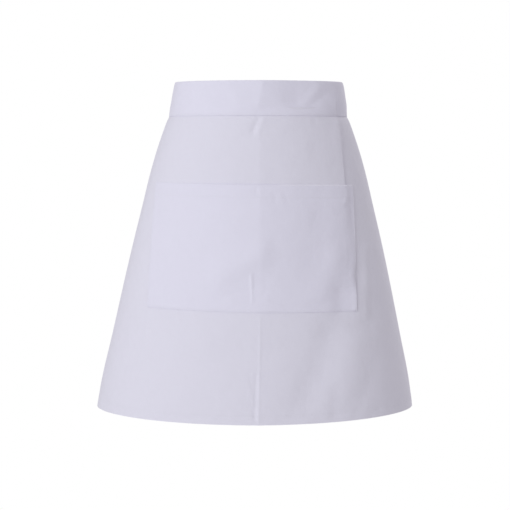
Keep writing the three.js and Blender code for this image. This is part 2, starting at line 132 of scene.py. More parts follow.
@dataclass(frozen=True)
class Outline:
    """The shape that all the cloth follows, as a half ellipse at each height."""

    waist_width: float = 0.243
    waist_depth: float = 0.180
    seam_width: float = 0.261
    seam_depth: float = 0.190
    hem_width: float = 0.470
    hem_depth: float = 0.308
    wrap: float = math.radians(115)
    band_height: float = 0.050
    skirt_length: float = 0.433
    hem_shift: float = -0.005
    hem_rise: float = 0.0045
    hem_rise_left: float = 0.0035
    band_curve: float = 0.75
    down: tuple = (0, 0.02, 0.05, 0.12, 0.2, 0.3, 0.45, 0.6, 0.75, 0.9, 1)
    out: tuple = (0, 0.042, 0.088, 0.186, 0.28, 0.38, 0.53, 0.668, 0.8, 0.935, 1)

    @property
    def top_z(self) -> float:
        """Height of the waistband's top."""
        return self.band_height / 2

    @property
    def seam_z(self) -> float:
        """Height of the seam between waistband and skirt."""
        return -self.band_height / 2

    @property
    def hem_z(self) -> float:
        """Height of the hem's lower edge at the front."""
        return self.seam_z - self.skirt_length

    def down_at(self, z: Array) -> Array:
        """Share of the skirt's length that lies above each height."""
        return np.clip((self.seam_z - np.asarray(z, float)) / self.skirt_length, 0, 1)

    def spread(self, down: Array) -> Array:
        """How far the skirt has spread, by a smooth curve through the flare's rows.

        Args:
            down: Shares of the skirt's length below the seam.

        Returns:
            Shares of the way from the seam's size to the hem's.
        """
        places, values = np.array(self.down), np.array(self.out)
        last = len(places) - 1
        at = np.clip(np.searchsorted(places, down, side="right") - 1, 0, last - 1)
        start, end = places[at], places[at + 1]
        half = (end - start) / 2
        before = np.where(at > 0, start - places[np.maximum(at - 1, 0)], start - end)
        after = np.where(at + 2 <= last, places[np.minimum(at + 2, last)] - end, start - end)
        back, ahead = half / before, half / after
        p = (down - start) / (end - start)
        squared, cubed = p * p, p ** 3
        weights = (
            -back * cubed + 2 * back * squared - back * p,
            (1 + back) * cubed + (-1.5 - 2 * back) * squared + (-0.5 + back) * p + 1,
            (-1 - ahead) * cubed + (1.5 + ahead) * squared + 0.5 * p,
            ahead * cubed - ahead * squared,
        )
        rows = (np.where(at > 0, at - 1, at + 1), at, at + 1, np.where(at + 2 <= last, at + 2, at))
        return sum(weight * values[row] for weight, row in zip(weights, rows))

    def at(self, z: Array) -> tuple[Array, Array, Array]:
        """The outline's half width, half depth and sideways shift.

        Args:
            z: Heights.

        Returns:
            Half width, half depth and shift, one of each for every height.
        """
        down = self.down_at(z)
        spread = self.spread(down)
        lift = np.clip((z - self.seam_z) / self.band_height, 0, 1)
        narrowing = 1 - (1 - lift) ** self.band_curve
        width = self.seam_width + (self.hem_width - self.seam_width) * spread
        depth = self.seam_depth + (self.hem_depth - self.seam_depth) * spread
        across = (width + (self.waist_width - self.seam_width) * narrowing) / 2
        deep = (depth + (self.waist_depth - self.seam_depth) * narrowing) / 2
        return across, deep, self.hem_shift * down ** 2

    def length_to(self, angle: Array, z: Array) -> Array:
        """Length along the outline from the front centre to an angle.

        Args:
            angle: Angles round from the front centre, right is positive.
            z: Heights.

        Returns:
            The lengths, negative on the left.
        """
        angle, z = np.broadcast_arrays(np.asarray(angle, float), np.asarray(z, float))
        across, deep, _ = self.at(z)
        turned = (angle / 2)[..., None] * (GAUSS_NODES + 1)
        strides = np.hypot(across[..., None] * np.cos(turned), deep[..., None] * np.sin(turned))
        return (strides * GAUSS_WEIGHTS).sum(-1) * angle / 2

    def angle_after(self, along: Array, z: Array) -> Array:
        """Angle that is reached after a length along the outline.

        Args:
            along: Lengths from the front centre, right is positive.
            z: Heights.

        Returns:
            The angles.
        """
        along, z = np.broadcast_arrays(np.asarray(along, float), np.asarray(z, float))
        across, deep, _ = self.at(z)
        angle = 2 * along / (across + deep)
        for _ in range(7):
            pace = np.hypot(across * np.cos(angle), deep * np.sin(angle))
            angle = angle - (self.length_to(angle, z) - along) / pace
        return angle

    def point(self, angle: Array, z: Array, out: Array) -> Array:
        """Points at an angle and height, a distance out from the outline.

        Args:
            angle: Angles round from the front centre.
            z: Heights.
            out: Distances out.

        Returns:
            The points, with x, y and z as the last axis.
        """
        across, deep, shift = self.at(z)
        nx, ny = deep * np.sin(angle), -across * np.cos(angle)
        size = np.hypot(nx, ny)
        sway = np.where(angle > 0, self.hem_rise, self.hem_rise_left) * np.sin(angle) ** 2
        rise = self.down_at(z) ** 2 * sway
        x = shift + across * np.sin(angle) + out * nx / size
        y = -deep * np.cos(angle) + out * ny / size
        return np.stack(np.broadcast_arrays(x, y, z + rise), axis=-1)

    def folded(self, folds: tuple[Fold, ...], angle: Array, z: Array) -> Array:
        """How far a list of soft folds pushes the cloth out.

        Args:
            folds: The folds.
            angle: Angles round from the front centre.
            z: Heights.

        Returns:
            Distances out, in metres.
        """
        across, _, _ = self.at(z)
        x = across * np.sin(angle)
        out = np.zeros(np.broadcast(x, z).shape)
        for fold in folds:
            x0, x1 = fold.x0 * self.hem_width / 2, fold.x1 * self.hem_width / 2
            z0 = self.seam_z - fold.down0 * self.skirt_length
            z1 = self.seam_z - fold.down1 * self.skirt_length
            run_x, run_z = x1 - x0, z1 - z0
            t = np.clip(((x - x0) * run_x + (z - z0) * run_z) / (run_x ** 2 + run_z ** 2), 0, 1)
            away = np.hypot(x - x0 - t * run_x, z - z0 - t * run_z) / fold.reach
            out = out + fold.lift * fold.section(away)
        return np.where(np.cos(angle) > 0, out, 0)


@dataclass(frozen=True)
class Pleat:
    """The knife pleat right of the front: cloth folded under itself, pressed, and let go lower down."""

    outline: Outline
    place: float = 0.1275
    slant: float = 0.05
    depth: float = 0.036
    open: float = 0.002
    length: float = 0.262
    pressed: float = 0.78
    ramp: float = 0.042
    margin: float = 0.010
    radius: float = 0.0005
    cloth: float = CLOTH
    proud: float = 0.0024
    lean: float = 0.050
    settle: float = 0.010

    def place_at(self, z: Array) -> Array:
        """Length along at which the pleat's edge lies at each height."""
        return self.place + self.slant * self.outline.down_at(z) * self.outline.skirt_length

    def start_at(self, z: Array) -> Array:
        """Length along at which the cloth begins to turn at each height."""
        return self.place_at(z) - self.radius - self.cloth / 2

    def turn_at(self, z: Array) -> Array:
        """How far the cloth turns back at each height, from half a turn to none."""
        run = self.outline.down_at(z) * self.outline.skirt_length / self.length
        return math.pi * (1 - smoothstep(run, self.pressed, 1))

    def under_at(self, z: Array) -> Array:
        """How much cloth lies under at each height."""
        run = self.outline.down_at(z) * self.outline.skirt_length / self.length
        return self.depth + (self.open - self.depth) * np.clip(run / self.pressed, 0, 1)

    def bend(self, turn: Array, share: Array) -> tuple[Array, Array]:
        """How far the cloth has gone along and out, a share of the way round one turn.

        Args:
            turn: Angles that the cloth turns through.
            share: Share of the turn.

        Returns:
            Distance along and distance out.
        """
        length = math.pi * self.radius
        safe = np.maximum(turn, 1e-6)
        heading = safe * share
        return length / safe * np.sin(heading), -length / safe * (1 - np.cos(heading))

    def ends(self, z: Array) -> tuple[Array, Array]:
        """Where the tucked layer starts.

        Args:
            z: Heights.

        Returns:
            Its distance along and out.
        """
        turn, under = self.turn_at(z), self.under_at(z)
        along, out = self.bend(turn, 1.0)
        return self.start_at(z) + 2 * along + under * np.cos(turn), 2 * out - under * np.sin(turn)

    def tucked(self, along: Array, z: Array) -> Array:
        """How far out the cloth right of the pleat lies, back to the outline after the ramp."""
        return self.ends(z)[1] * (1 - smoothstep(along - self.place_at(z), 0, self.ramp))

    def ridge(self, along: Array, z: Array) -> Array:
        """How far the stack of layers lifts the cloth, most of all at the pleat's edge.

        Args:
            along: Lengths from the front centre.
            z: Heights.

        Returns:
            Distances out.
        """
        below = self.outline.seam_z - z
        past = along - self.place_at(z)
        rise = np.clip(past / self.lean + 1, 0, 1) ** 2
        fall = 1 - smoothstep(past, 0, self.ramp)
        let_go = smoothstep(below, self.pressed * self.length, self.length)
        return self.proud * rise * fall * smoothstep(below, 0, self.settle) * (1 - let_go)


def deselect() -> None:
    """Leaves nothing selected."""
    if bpy.context.mode != "OBJECT":
        bpy.ops.object.mode_set(mode="OBJECT")
    bpy.ops.object.select_all(action="DESELECT")


def cloth_grid(name: str, places: Array, flat: Array) -> Object:
    """A grid of cloth with each point put in its place.

    Args:
        name: The piece's name.
        places: Points by column and row, as columns × rows × 3, seen from the outside.
        flat: Where each point lies on the flat cloth in metres, as columns × rows × 2.

    Returns:
        The grid's object, one layer thick, its faces pointing out.
    """
    deselect()
    columns, rows = places.shape[:2]
    bpy.ops.mesh.primitive_grid_add(x_subdivisions=columns - 1, y_subdivisions=rows - 1, size=1)
    piece = bpy.context.object
    piece.name = name
    mesh = piece.data
    mesh.name = name
    start = np.empty(len(mesh.vertices) * 3)
    mesh.vertices.foreach_get("co", start)
    start = start.reshape(-1, 3)
    i = np.rint((start[:, 0] + 0.5) * (columns - 1)).astype(int)
    j = np.rint((start[:, 1] + 0.5) * (rows - 1)).astype(int)
    mesh.vertices.foreach_set("co", places[i, j].ravel())
    corners = np.empty(len(mesh.loops), int)
    mesh.loops.foreach_get("vertex_index", corners)
    layer = mesh.uv_layers[0]
    layer.name = "flat"
    layer.data.foreach_set("uv", flat[i, j][corners].ravel())
    mesh.update()
    return piece


def give_wall(piece: Object, wall: float, share: Array | None = None) -> None:
    """Gives one layer of cloth its thickness, away from its outer face.

    Args:
        piece: The layer's object.
        wall: The thickness.
        share: Share of the thickness at each point, in the grid's own order, or None for all of it.
    """
    deselect()
    piece.select_set(True)
    bpy.context.view_layer.objects.active = piece
    solid = piece.modifiers.new("wall", "SOLIDIFY")
    solid.thickness = wall
    solid.offset = -1
    solid.use_even_offset = False
    if share is not None:
        group = piece.vertex_groups.new(name="wall")
        for level in np.unique(np.round(share, 2)):
            group.add([int(k) for k in np.nonzero(np.round(share, 2) == level)[0]], float(level), "REPLACE")
        solid.vertex_group = group.name
    bpy.ops.object.modifier_apply(modifier=solid.name)
    if share is not None:
        piece.vertex_groups.clear()
    bpy.ops.object.shade_smooth_by_angle(angle=SMOOTH_ANGLE)


def grid_order(values: Array) -> Array:
    """Values by column and row, put in the order of a grid's points."""
    order = np.arange(values.size)
    columns = values.shape[0]
    return values[order % columns, order // columns]


class Nodes:
    """A node tree that is being wired."""

    def __init__(self, tree: bpy.types.NodeTree) -> None:
        """Keeps the tree."""
        self.tree = tree

    def add(self, kind: str, **settings: object) -> bpy.types.Node:
        """Adds one node.

        Args:
            kind: The node's type.
            settings: Values of its properties.

        Returns:
            The node.
        """
        node = self.tree.nodes.new(kind)
        for key, value in settings.items():
            setattr(node, key, value)
        return node

    def put(self, socket: Socket, value: object) -> None:
        """Links a socket to another one, or sets its value.

        Args:
            socket: An input.
            value: An output socket, a number or a tuple.
        """
        if isinstance(value, bpy.types.NodeSocket):
            self.tree.links.new(value, socket)
        else:
            socket.default_value = value

    def math(self, operation: str, *values: object, clamp: bool = False) -> Socket:
        """One sum.

        Args:
            operation: The Math node's operation.
            values: Its inputs, sockets or numbers.
            clamp: Whether the result is kept from 0 to 1.

        Returns:
            The result's socket.
        """
        node = self.add("ShaderNodeMath", operation=operation, use_clamp=clamp)
        for socket, value in zip(node.inputs, values):
            self.put(socket, value)
        return node.outputs[0]

    def mix(self, share: object, first: object, second: object) -> Socket:
        """A colour between two others.

        Args:
            share: Share of the second.
            first: The first colour.
            second: The second colour.

        Returns:
            The colour's socket.
        """
        node = self.add("ShaderNodeMix", data_type="RGBA")
        self.put(node.inputs[0], share)
        self.put(node.inputs[6], first)
        self.put(node.inputs[7], second)
        return node.outputs[2]

    def group(self, tree: bpy.types.NodeTree, **values: object) -> bpy.types.Node:
        """Places a node group.

        Args:
            tree: The group.
            values: Its inputs by name, with spaces written as underscores.

        Returns:
            The group's node.
        """
        node = self.add("ShaderNodeGroup", node_tree=tree)
        for key, value in values.items():
            self.put(node.inputs[key.replace("_", " ")], value)
        return node


def new_group(name: str, inputs: dict[str, float], outputs: tuple[str, ...], vector: bool = False) -> tuple:
    """An empty node group with its sockets.

    Args:
        name: The group's name.
        inputs: Number inputs with their default values.
        outputs: Names of the number outputs.
        vector: Whether it also takes a vector called Place.

    Returns:
        The group's tree, its wiring, its input node and its output node.
    """
    tree = bpy.data.node_groups.new(name, "ShaderNodeTree")
    if vector:
        tree.interface.new_socket("Place", in_out="INPUT", socket_type="NodeSocketVector")
    for key, value in inputs.items():
        tree.interface.new_socket(key, in_out="INPUT", socket_type="NodeSocketFloat").default_value = value
    for key in outputs:
        tree.interface.new_socket(key, in_out="OUTPUT", socket_type="NodeSocketFloat")
    nodes = Nodes(tree)
    return tree, nodes, nodes.add("NodeGroupInput"), nodes.add("NodeGroupOutput")


class Shared:
    """The effects that several finishes use, each built once."""

    def __init__(self) -> None:
        """Builds the groups."""
        self.twill = self.build_twill()
        self.stitches = self.build_stitches()
        self.crumple = self.build_crumple()

    @staticmethod
    def build_twill() -> bpy.types.NodeTree:
        """Fine diagonal ribs of yarn, read on the flat cloth in metres."""
        tree, n, source, target = new_group("twill_weave", {"Pitch": 0.0009}, ("Height",), vector=True)
        axes = n.add("ShaderNodeSeparateXYZ")
        n.put(axes.inputs[0], source.outputs["Place"])
        turn = n.math("DIVIDE", 2 * math.pi, source.outputs["Pitch"])
        across = n.math("MULTIPLY", axes.outputs[0], turn)
        down = n.math("MULTIPLY", axes.outputs[1], turn)
        rib = n.math("SINE", n.math("ADD", across, down))
        yarn = n.math("SINE", n.math("MULTIPLY", across, 2.0))
        pick = n.math("SINE", n.math("MULTIPLY", down, 2.0))
        fine = n.math("MULTIPLY", n.math("ADD", yarn, pick), 0.25)
        n.put(target.inputs["Height"], n.math("MULTIPLY_ADD", n.math("ADD", rib, fine), 0.33, 0.5))
        return tree

    @staticmethod
    def build_stitches() -> bpy.types.NodeTree:
        """A row of stitches along a line of the flat cloth, with the groove that it pulls in."""
        inputs = {"Away": 0.0, "Along": 0.0, "Start": -9.0, "End": 9.0, "Pitch": 0.0026, "Thread": 0.00035}
        tree, n, source, target = new_group("stitch_row", inputs, ("Stitch", "Groove"))
        away = n.math("ABSOLUTE", source.outputs["Away"])
        along = source.outputs["Along"]
        after = n.math("GREATER_THAN", along, source.outputs["Start"])
        before = n.math("LESS_THAN", along, source.outputs["End"])
        within = n.math("MULTIPLY", after, before)
        near = n.math("SUBTRACT", 1.0, n.math("DIVIDE", away, source.outputs["Thread"]), clamp=True)
        cycle = n.math("FRACT", n.math("DIVIDE", along, source.outputs["Pitch"]))
        gap = n.math("ABSOLUTE", n.math("SUBTRACT", cycle, 0.5))
        dash = n.math("MULTIPLY", n.math("SUBTRACT", 0.42, gap, clamp=True), 6.0, clamp=True)
        stitch = n.math("MULTIPLY", n.math("MULTIPLY", n.math("POWER", near, 0.5), dash), within)
        wide = n.math("MULTIPLY", source.outputs["Thread"], 5.0)
        dip = n.math("SUBTRACT", 1.0, n.math("DIVIDE", away, wide), clamp=True)
        n.put(target.inputs["Stitch"], stitch)
        n.put(target.inputs["Groove"], n.math("MULTIPLY", n.math("MULTIPLY", dip, dip), within))
        return tree

    @staticmethod
    def build_crumple() -> bpy.types.NodeTree:
        """Faint unevenness of washed and pressed cotton: slow waves, and slubs in the yarn."""
        tree, n, source, target = new_group("crumple", {"Size": 0.03}, ("Waves", "Slubs"), vector=True)
        scale = n.math("DIVIDE", 1.0, source.outputs["Size"])
        waves = n.add("ShaderNodeTexNoise")
        n.put(waves.inputs["Vector"], source.outputs["Place"])
        n.put(waves.inputs["Scale"], scale)
        waves.inputs["Detail"].default_value = 3.0
        waves.inputs["Roughness"].default_value = 0.45
        stretch = n.add("ShaderNodeVectorMath", operation="MULTIPLY")
        n.put(stretch.inputs[0], source.outputs["Place"])
        stretch.inputs[1].default_value = (900.0, 60.0, 1.0)
        slubs = n.add("ShaderNodeTexNoise")
        n.put(slubs.inputs["Vector"], stretch.outputs[0])
        slubs.inputs["Scale"].default_value = 1.0
        slubs.inputs["Detail"].default_value = 1.0
        n.put(target.inputs["Waves"], waves.outputs["Fac"])
        n.put(target.inputs["Slubs"], slubs.outputs["Fac"])
        return tree


class Axis(Enum):
    """Which way a line runs on the flat cloth, as the number of that axis."""

    ALONG = 0
    DOWN = 1


@dataclass(frozen=True)
class Seam:
    """A stitched line: it runs along one axis of the flat cloth, at a place on the other."""

    runs: Axis
    place: float
    start: float = -9.0
    end: float = 9.0


@dataclass(frozen=True)
class Cotton:
    """White cotton twill with its stitching, painted shade in its stitch grooves and painted highlights along
    its pressed lines.
    """

    name: str
    base: tuple[float, float, float] = (0.812, 0.785, 0.893)
    thread: tuple[float, float, float] = (0.83, 0.81, 0.91)
    # Colour of the painted highlight along the pressed lines.
    edge: tuple[float, float, float] = (0.92, 0.90, 0.98)
    slub_tone: float = 0.93
    slub_share: float = 0.25
    # Painted shade: the stitch grooves are darkened towards this tone, by this share.
    groove_shade_tone: float = 0.85
    groove_shade_share: float = 0.10
    groove_depth: float = 0.00012
    thread_height: float = 0.0002
    roughness: float = 0.9
    sheen: float = 0.25
    sheen_roughness: float = 0.6
    specular: float = 0.25
    weave_pitch: float = 0.0009
    weave_depth: float = 0.00006
    wave_depth: float = 0.0016
    seams: tuple[Seam, ...] = ()
    # Lines along which a painted highlight lightens the colour.
    pressed: tuple[Seam, ...] = ()

    def toned(self, tone: float) -> tuple:
        """The base colour, darker where tone is under 1, with its alpha."""
        return (*[value * tone for value in self.base], 1)

    @staticmethod
    def line(n: Nodes, axes: bpy.types.Node, shared: Shared, seam: Seam) -> bpy.types.Node:
        """One stitched line, or one line of painted highlight, on the flat cloth.

        Args:
            n: The material's wiring.
            axes: The place on the flat cloth, split into its axes.
            shared: The effects, of which it uses the stitches.
            seam: Where the line is.

        Returns:
            The line's node.
        """
        along = axes.outputs[seam.runs.value]
        away = n.math("SUBTRACT", axes.outputs[1 - seam.runs.value], seam.place)
        return n.group(shared.stitches, Away=away, Along=along, Start=seam.start, End=seam.end)

    def build(self, shared: Shared) -> bpy.types.Material:
        """Makes the material.

        Args:
            shared: The effects that it uses.

        Returns:
            The material.
        """
        material = bpy.data.materials.new(self.name)
        material.use_nodes = True
        n = Nodes(material.node_tree)
        shader = material.node_tree.nodes["Principled BSDF"]
        place = n.add("ShaderNodeUVMap", uv_map="flat").outputs[0]
        axes = n.add("ShaderNodeSeparateXYZ")
        n.put(axes.inputs[0], place)
        twill = n.group(shared.twill, Place=place, Pitch=self.weave_pitch)
        crumple = n.group(shared.crumple, Place=place)
        stitch: object = 0.0
        groove: object = 0.0
        for seam in self.seams:
            row = self.line(n, axes, shared, seam)
            stitch = n.math("MAXIMUM", row.outputs["Stitch"], stitch)
            groove = n.math("MAXIMUM", row.outputs["Groove"], groove)
        mottle = n.math("MULTIPLY", crumple.outputs["Slubs"], self.slub_share)
        color = n.mix(mottle, self.toned(1), self.toned(self.slub_tone))
        # Painted shade darkens the colour in the stitch grooves.
        groove_shade = n.math("MULTIPLY", groove, self.groove_shade_share)
        color = n.mix(groove_shade, color, self.toned(self.groove_shade_tone))
        color = n.mix(stitch, color, (*self.thread, 1))
        # Painted highlights along the pressed lines.
        for seam in self.pressed:
            row = self.line(n, axes, shared, seam)
            color = n.mix(row.outputs["Groove"], color, (*self.edge, 1))
        n.put(shader.inputs["Base Color"], color)
        shader.inputs["Roughness"].default_value = self.roughness
        shader.inputs["Sheen Weight"].default_value = self.sheen
        shader.inputs["Sheen Roughness"].default_value = self.sheen_roughness
        shader.inputs["Specular IOR Level"].default_value = self.specular
        height = n.math("MULTIPLY", twill.outputs["Height"], self.weave_depth)
        height = n.math("MULTIPLY_ADD", crumple.outputs["Waves"], self.wave_depth, height)
        height = n.math("MULTIPLY_ADD", groove, -self.groove_depth, height)
        height = n.math("MULTIPLY_ADD", stitch, self.thread_height, height)
        bump = n.add("ShaderNodeBump")
        bump.inputs["Distance"].default_value = 1.0
        bump.inputs["Strength"].default_value = 1.0
        n.put(bump.inputs["Height"], height)
        n.put(shader.inputs["Normal"], bump.outputs[0])
        return material


def dress(piece: Object, material: bpy.types.Material, node: str) -> None:
    """Gives a finished piece its material, hangs it on the root, and hides the solid that it stands for.

    Args:
        piece: The piece.
        material: Its material.
        node: The solid's name.
    """
    piece.data.materials.clear()
    piece.data.materials.append(material)
    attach(piece, "root")
    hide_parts(node)


@dataclass
class SkirtPanel:
    """The skirt: one sheet with its pleat folded in and its hems turned up."""

    outline: Outline
    pleat: Pleat
    cell: float = 0.0034
    fine: float = 0.0011
    fine_left: float = -0.014
    fine_right: float = 0.016
    cloth: float = CLOTH
    hem_extra: float = HEM_EXTRA
    hem_step: float = HEM_STEP
    bottom_hem: float = 0.014
    side_hem: float = SIDE_HEM
    side_steps: int = 3
    turn_steps: int = 8
    tuck_steps: int = 7
    tongue: float = TONGUE
    ripple: float = 0.00012
    ripple_reach: float = 0.007
    folds: tuple[Fold, ...] = (
        Fold("middle press line", 0.01, 0, 0.03, 1, 0.0015, 0.028, Profile.CREASE),
        Fold("dent under the waistband", 0.008, 0.008, -0.028, 0.05, -0.0014, 0.0045),
        Fold("lip right of that dent", 0.028, 0.012, -0.004, 0.052, 0.0007, 0.005),
        Fold("second dent, fading left", -0.03, 0.05, -0.1, 0.075, -0.0006, 0.006),
        Fold("gather at the right", 0.33, 0.0, 0.345, 0.018, -0.0008, 0.003),
        Fold("crease line, lit edge", 0.021, 0.66, 0.023, 1, 0.0004, 0.0018),
        Fold("crease line, shaded edge", 0.002, 0.84, 0.0, 0.98, -0.0009, 0.0026),
        Fold("wrinkle by the crease", -0.03, 0.85, -0.005, 0.9, -0.0006, 0.0035),
        Fold("wrinkle by the hem", -0.028, 0.93, -0.004, 0.97, -0.0006, 0.003),
        Fold("long fold at the right", 0.60, 0.765, 0.565, 0.87, 0.0040, 0.026),
        Fold("dent left of the long fold", 0.445, 0.72, 0.295, 0.926, -0.0033, 0.022),
        Fold("swell at the right", 0.76, 0.727, 0.76, 0.912, 0.0013, 0.020),
        Fold("swell at the pocket's corner", 0.62, 0.56, 0.62, 0.64, 0.0016, 0.013),
        Fold("hollow in the pocket's corner", 0.50, 0.585, 0.51, 0.64, -0.0020, 0.012),
        Fold("slack under the pocket", -0.15, 0.76, 0.25, 0.76, -0.0013, 0.020),
        Fold("dent at the hem", 0.485, 0.90, 0.485, 0.98, -0.0009, 0.008),
        Fold("ridge right of the pocket", 0.665, 0.44, 0.665, 0.66, 0.0011, 0.006),
        Fold("swell left of the pleat", 0.485, 0.0, 0.485, 0.08, 0.0012, 0.009),
    )

    def hem_at(self, along: Array, z: Array, half: Array) -> Array:
        """Share of a turned hem at each place, from 0 on plain cloth to 1 on a hem."""
        side = 1 - smoothstep(half - np.abs(along), self.side_hem, self.side_hem + self.hem_step)
        bottom = 1 - smoothstep(z - self.outline.hem_z, self.bottom_hem, self.bottom_hem + self.hem_step)
        return np.maximum(side, bottom)

    def relief(self, angle: Array, z: Array) -> Array:
        """How far the panel's folds push it out, from just below the seam down."""
        seam = -self.outline.seam_z
        return self.outline.folded(self.folds, angle, z) * smoothstep(-z, seam, seam + self.hem_step)

    def pucker(self, along: Array, z: Array) -> Array:
        """Small ripples that the hem's stitching pulls into the cloth."""
        stitched = self.outline.hem_z + self.bottom_hem - EDGE_STITCH
        short, middle, long = along / 0.0031, along / 0.0053 + 1.3, along / 0.0117 + 0.4
        wave = np.sin(short) + np.sin(middle) + 0.7 * np.sin(long)
        return self.ripple * wave * np.exp(-((z - stitched) / self.ripple_reach) ** 2)

    def rows(self) -> Array:
        """Heights of the rows of points, from the tongue's top to the hem."""
        o = self.outline
        step = o.hem_z + self.bottom_hem
        upper = spaced(o.seam_z, step + self.hem_step, self.cell)
        lower = spaced(step, o.hem_z, self.cell)[1:]
        return np.concatenate([[o.seam_z + self.tongue], upper, [step], lower])

    def build(self) -> Object:
        """Makes the panel.

        Returns:
            The panel's object.
        """
        o, pleat = self.outline, self.pleat
        rows = self.rows()
        crease = (self.fine_left, self.fine_right)
        level = np.minimum(rows, o.seam_z)
        half = o.length_to(np.full_like(level, o.wrap), level)
        turn, under = pleat.turn_at(level), pleat.under_at(level)
        one_along, one_out = pleat.bend(turn, 1.0)
        tuck, tuck_out = pleat.ends(level)
        outer = self.cloth / 2
        columns = []
        used = []

        def flat_run(
            first: Array, last: Array, steps: int, offset: float | Array, tucked: bool = False
        ) -> None:
            """Adds flat columns from one mark to another, without the first."""
            for share in np.linspace(0, 1, steps + 1)[1:]:
                along = first + (last - first) * share
                out = pleat.tucked(along, level) if tucked else np.zeros_like(along)
                columns.append((along, out + outer))
                used.append(along + offset)

        left = -half
        columns.append((left, np.full_like(left, outer)))
        used.append(left)
        flat_run(left, left + self.side_hem, self.side_steps, 0)
        flat_run(left + self.side_hem, left + self.side_hem + self.hem_step, 1, 0)
        plain = left + self.side_hem + self.hem_step
        first, last = (np.full_like(left, edge) for edge in crease)
        start = pleat.start_at(level)
        flat_run(plain, first, math.ceil((float(half.max()) + crease[0]) / self.cell), 0)
        flat_run(first, last, math.ceil((crease[1] - crease[0]) / self.fine), 0)
        flat_run(last, start, math.ceil((float(start.max()) - crease[1]) / self.cell), 0)
        turn_length = math.pi * pleat.radius
        for share in np.linspace(0, 1, self.turn_steps + 1)[1:]:
            along, out = pleat.bend(turn, share)
            heading = turn * share
            columns.append((start + along + outer * np.sin(heading), out + outer * np.cos(heading)))
            used.append(start + turn_length * share)
        for share in np.linspace(0, 1, self.tuck_steps + 1)[1:]:
            along = start + one_along + under * np.cos(turn) * share + outer * np.sin(turn)
            columns.append((along, one_out - under * np.sin(turn) * share + outer * np.cos(turn)))
            used.append(start + turn_length + under * share)
        for share in np.linspace(0, 1, self.turn_steps + 1)[1:]:
            along, out = pleat.bend(turn, 1 - share)
            heading = turn * (1 - share)
            back, lift = tuck - along, tuck_out - out
            columns.append((back + outer * np.sin(heading), lift + outer * np.cos(heading)))
            used.append(start + turn_length * (1 + share) + under)
        offset = start + 2 * turn_length + under - tuck
        right = half
        reach = float(half.max()) - pleat.place
        inner = right - self.side_hem - self.hem_step
        flat_run(tuck, inner, math.ceil(reach / self.cell), offset, tucked=True)
        flat_run(inner, inner + self.hem_step, 1, offset)
        flat_run(right - self.side_hem, right, self.side_steps, offset)

        along = np.array([column[0] for column in columns])
        out = np.array([column[1] for column in columns])
        used = np.array(used)
        angle = o.angle_after(along, np.broadcast_to(level, along.shape))
        z = np.broadcast_to(rows, along.shape)
        out = out + self.relief(angle, z) + self.pucker(along, z) + pleat.ridge(along, z)
        places = o.point(angle, z, out)[:, ::-1]
        flat = np.stack([used, np.broadcast_to(o.seam_z - rows, used.shape)], axis=-1)[:, ::-1]
        hem = self.hem_at(along, z, half)[:, ::-1]
        piece = cloth_grid("skirt_cloth", places, flat)
        wall = self.cloth + self.hem_extra
        share = (self.cloth + self.hem_extra * hem) / wall
        give_wall(piece, wall, grid_order(share))
        return piece

    def dress(self, piece: Object, shared: Shared) -> None:
        """Finishes the panel.

        Args:
            piece: The panel.
            shared: The effects that its material uses.
        """
        o = self.outline
        seams = (Seam(Axis.ALONG, o.skirt_length - self.bottom_hem + EDGE_STITCH),)
        finish = Cotton("cotton_panel", base=(0.796, 0.770, 0.876), seams=seams)
        dress(piece, finish.build(shared), "skirt_panel")


